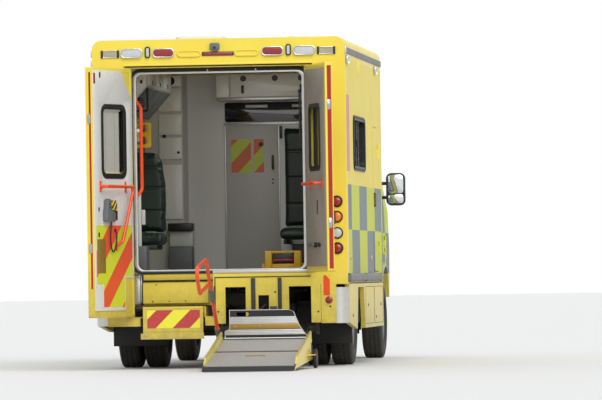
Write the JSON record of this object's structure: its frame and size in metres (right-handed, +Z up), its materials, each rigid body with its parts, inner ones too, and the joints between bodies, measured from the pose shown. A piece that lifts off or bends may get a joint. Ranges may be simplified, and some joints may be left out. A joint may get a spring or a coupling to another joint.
{
  "type": "box body ambulance",
  "caption": "Box body ambulance on a van chassis, with rear doors open, a slide-out step and a platform lift lowered.",
  "frame": {"origin": "on the ground, under the middle of the vehicle's length and width as it stands", "axes": "+X to the vehicle's right, +Y forward along its length, +Z up"},
  "size_m": [2.39, 7.8148, 2.838],
  "materials": {
    "yellow_paint": "gloss paint",
    "white_panel": "smooth gel coat",
    "steel_black": "chassis paint",
    "tyre_rubber": "moulded",
    "bare_aluminium": "mill finish",
    "black_plastic": "grained",
    "grey_plastic": "grained",
    "dark_glass": "tinted",
    "lamp_lens": "moulded lens",
    "orange_tube": "powder coat",
    "green_vinyl": "coated fabric",
    "grey_floor": "safety floor"
  },
  "bodies": {
    "body": {"body_lamps": "lamp_lens", "cab_fairing": "yellow_paint", "cab_seats": "black_plastic", "cab_shell": "yellow_paint", "chassis_frame": "steel_black", "corner_trims": "bare_aluminium", "dashboard": "black_plastic", "driveline": "steel_black", "fixed_windows": "dark_glass", "front_bumper": "grey_plastic", "front_suspension": "steel_black", "grille_and_headlamps": "black_plastic", "lift_panel": "yellow_paint", "rear_axle": "steel_black", "rear_bumper": "yellow_paint", "rear_frame": "yellow_paint", "roof_fittings": "white_panel", "saloon_bulkhead": "white_panel", "saloon_cabinets": "white_panel", "saloon_fittings": "orange_tube", "saloon_floor": "grey_floor", "saloon_roof": "yellow_paint", "saloon_seats": "green_vinyl", "saloon_wall_left": "yellow_paint", "saloon_wall_right": "yellow_paint", "side_locker": "bare_aluminium", "side_rails": "grey_plastic", "side_skirts": "yellow_paint", "underbody_units": "steel_black"},
    "wheel_front_left": {"wheel_front_left": "tyre_rubber"},
    "wheel_front_right": {"wheel_front_right": "tyre_rubber"},
    "wheel_rear_left": {"wheel_rear_left": "tyre_rubber"},
    "wheel_rear_right": {"wheel_rear_right": "tyre_rubber"},
    "knuckle_left": {"knuckle_left": "steel_black"},
    "knuckle_right": {"knuckle_right": "steel_black"},
    "steering_wheel": {"steering_wheel": "black_plastic"},
    "rear_door_left": {"rear_door_left": "white_panel"},
    "rear_door_right": {"rear_door_right": "white_panel"},
    "entry_step": {"entry_step": "yellow_paint"},
    "side_door": {"side_door": "yellow_paint"},
    "locker_door": {"locker_door": "yellow_paint"},
    "cab_door_left": {"cab_door_left": "yellow_paint", "cab_window_left": "dark_glass", "mirror_left": "black_plastic"},
    "cab_door_right": {"cab_door_right": "yellow_paint", "cab_window_right": "dark_glass", "mirror_right": "black_plastic"},
    "bonnet": {"bonnet": "yellow_paint"},
    "roof_hatch": {"roof_hatch": "white_panel"},
    "lift_arms": {"lift_arms": "steel_black"},
    "lift_carriage": {"lift_carriage": "steel_black"},
    "lift_platform": {"lift_platform": "bare_aluminium"},
    "lift_flap": {"lift_flap": "bare_aluminium"},
    "lift_handrail": {"lift_handrail": "orange_tube"},
    "ground_roller": {"ground_roller": "tyre_rubber"}
  },
  "joints": [
    {"name": "steer_left", "type": "hinge", "parent": "body", "child": "knuckle_left", "pos_m": [-0.715, 2.957, 0.345], "axis": [0, 0, 1], "range_deg": [-35, 35]},
    {"name": "steer_right", "type": "hinge", "parent": "body", "child": "knuckle_right", "pos_m": [0.715, 2.957, 0.345], "axis": [0, 0, 1], "range_deg": [-35, 35]},
    {"name": "steering_wheel_turn", "type": "hinge", "parent": "body", "child": "steering_wheel", "pos_m": [0.52, 2.802, 1.33], "axis": [0, -0.766, 0.6428], "range_deg": [-526, 526]},
    {"name": "wheel_front_left_spin", "type": "hinge", "parent": "knuckle_left", "child": "wheel_front_left", "pos_m": [-0.8725, 2.957, 0.345], "axis": [1, 0, 0], "continuous": true},
    {"name": "wheel_front_right_spin", "type": "hinge", "parent": "knuckle_right", "child": "wheel_front_right", "pos_m": [0.8725, 2.957, 0.345], "axis": [1, 0, 0], "continuous": true},
    {"name": "wheel_rear_left_spin", "type": "hinge", "parent": "body", "child": "wheel_rear_left", "pos_m": [-0.808, -0.708, 0.345], "axis": [1, 0, 0], "continuous": true},
    {"name": "wheel_rear_right_spin", "type": "hinge", "parent": "body", "child": "wheel_rear_right", "pos_m": [0.808, -0.708, 0.345], "axis": [1, 0, 0], "continuous": true},
    {"name": "rear_door_left_swing", "type": "hinge", "parent": "body", "child": "rear_door_left", "pos_m": [-0.8, -1.972, 1.5], "axis": [0, 0, -1], "range_deg": [-110.6, 0]},
    {"name": "rear_door_right_swing", "type": "hinge", "parent": "body", "child": "rear_door_right", "pos_m": [0.8, -1.972, 1.5], "axis": [0, 0, 1], "range_deg": [-107.1, 20]},
    {"name": "entry_step_slide", "type": "slide", "parent": "body", "child": "entry_step", "axis": [0, -1, 0], "range_m": [-0.121, 0]},
    {"name": "side_door_swing", "type": "hinge", "parent": "body", "child": "side_door", "pos_m": [-1.089, 1.342, 1.6], "axis": [0, 0, -1], "range_deg": [0, 95]},
    {"name": "locker_door_swing", "type": "hinge", "parent": "body", "child": "locker_door", "pos_m": [1.09, 1.122, 1.4], "axis": [0, 0, 1], "range_deg": [0, 100]},
    {"name": "cab_door_left_swing", "type": "hinge", "parent": "body", "child": "cab_door_left", "pos_m": [-1, 2.82, 1.1], "axis": [0, 0, -1], "range_deg": [0, 68]},
    {"name": "cab_door_right_swing", "type": "hinge", "parent": "body", "child": "cab_door_right", "pos_m": [1, 2.82, 1.1], "axis": [0, 0, 1], "range_deg": [0, 68]},
    {"name": "bonnet_lift", "type": "hinge", "parent": "body", "child": "bonnet", "pos_m": [0, 3.438, 1.362], "axis": [1, 0, 0], "range_deg": [0, 55]},
    {"name": "roof_hatch_lift", "type": "hinge", "parent": "body", "child": "roof_hatch", "pos_m": [-0.22, -0.914, 2.804], "axis": [-1, 0, 0], "range_deg": [0, 25]},
    {"name": "lift_raise", "type": "hinge", "parent": "body", "child": "lift_arms", "pos_m": [0.389, -1.608, 0.33], "axis": [-1, 0, 0], "range_deg": [0, 49.49]},
    {"name": "lift_level", "type": "hinge", "parent": "lift_arms", "child": "lift_carriage", "pos_m": [0.389, -2.278, 0.12], "axis": [-1, 0, 0], "range_deg": [-49.59, 0]},
    {"name": "platform_fold", "type": "hinge", "parent": "lift_carriage", "child": "lift_platform", "pos_m": [0.42, -2.34598, 0.23615], "axis": [-1, 0, 0], "range_deg": [0, 98.3]},
    {"name": "flap_fold", "type": "hinge", "parent": "lift_carriage", "child": "lift_flap", "pos_m": [0.42, -2.294, 0.256], "axis": [-1, 0, 0], "range_deg": [0, 90]},
    {"name": "handrail_fold", "type": "hinge", "parent": "lift_carriage", "child": "lift_handrail", "pos_m": [0.014, -2.243, 0.19], "axis": [-1, 0, 0], "range_deg": [0, 52]},
    {"name": "ground_roller_spin", "type": "hinge", "parent": "lift_platform", "child": "ground_roller", "pos_m": [0.837, -2.458, 0.082], "axis": [1, 0, 0], "continuous": true}
  ],
  "couplings": [
    {"joint": "steer_right", "follows": "steer_left", "ratio": 1},
    {"joint": "steering_wheel_turn", "follows": "steer_left", "ratio": 15},
    {"joint": "entry_step_slide", "follows": "rear_door_left_swing", "m_per_rad": 0.062165},
    {"joint": "lift_level", "follows": "lift_raise", "ratio": -1}
  ]
}
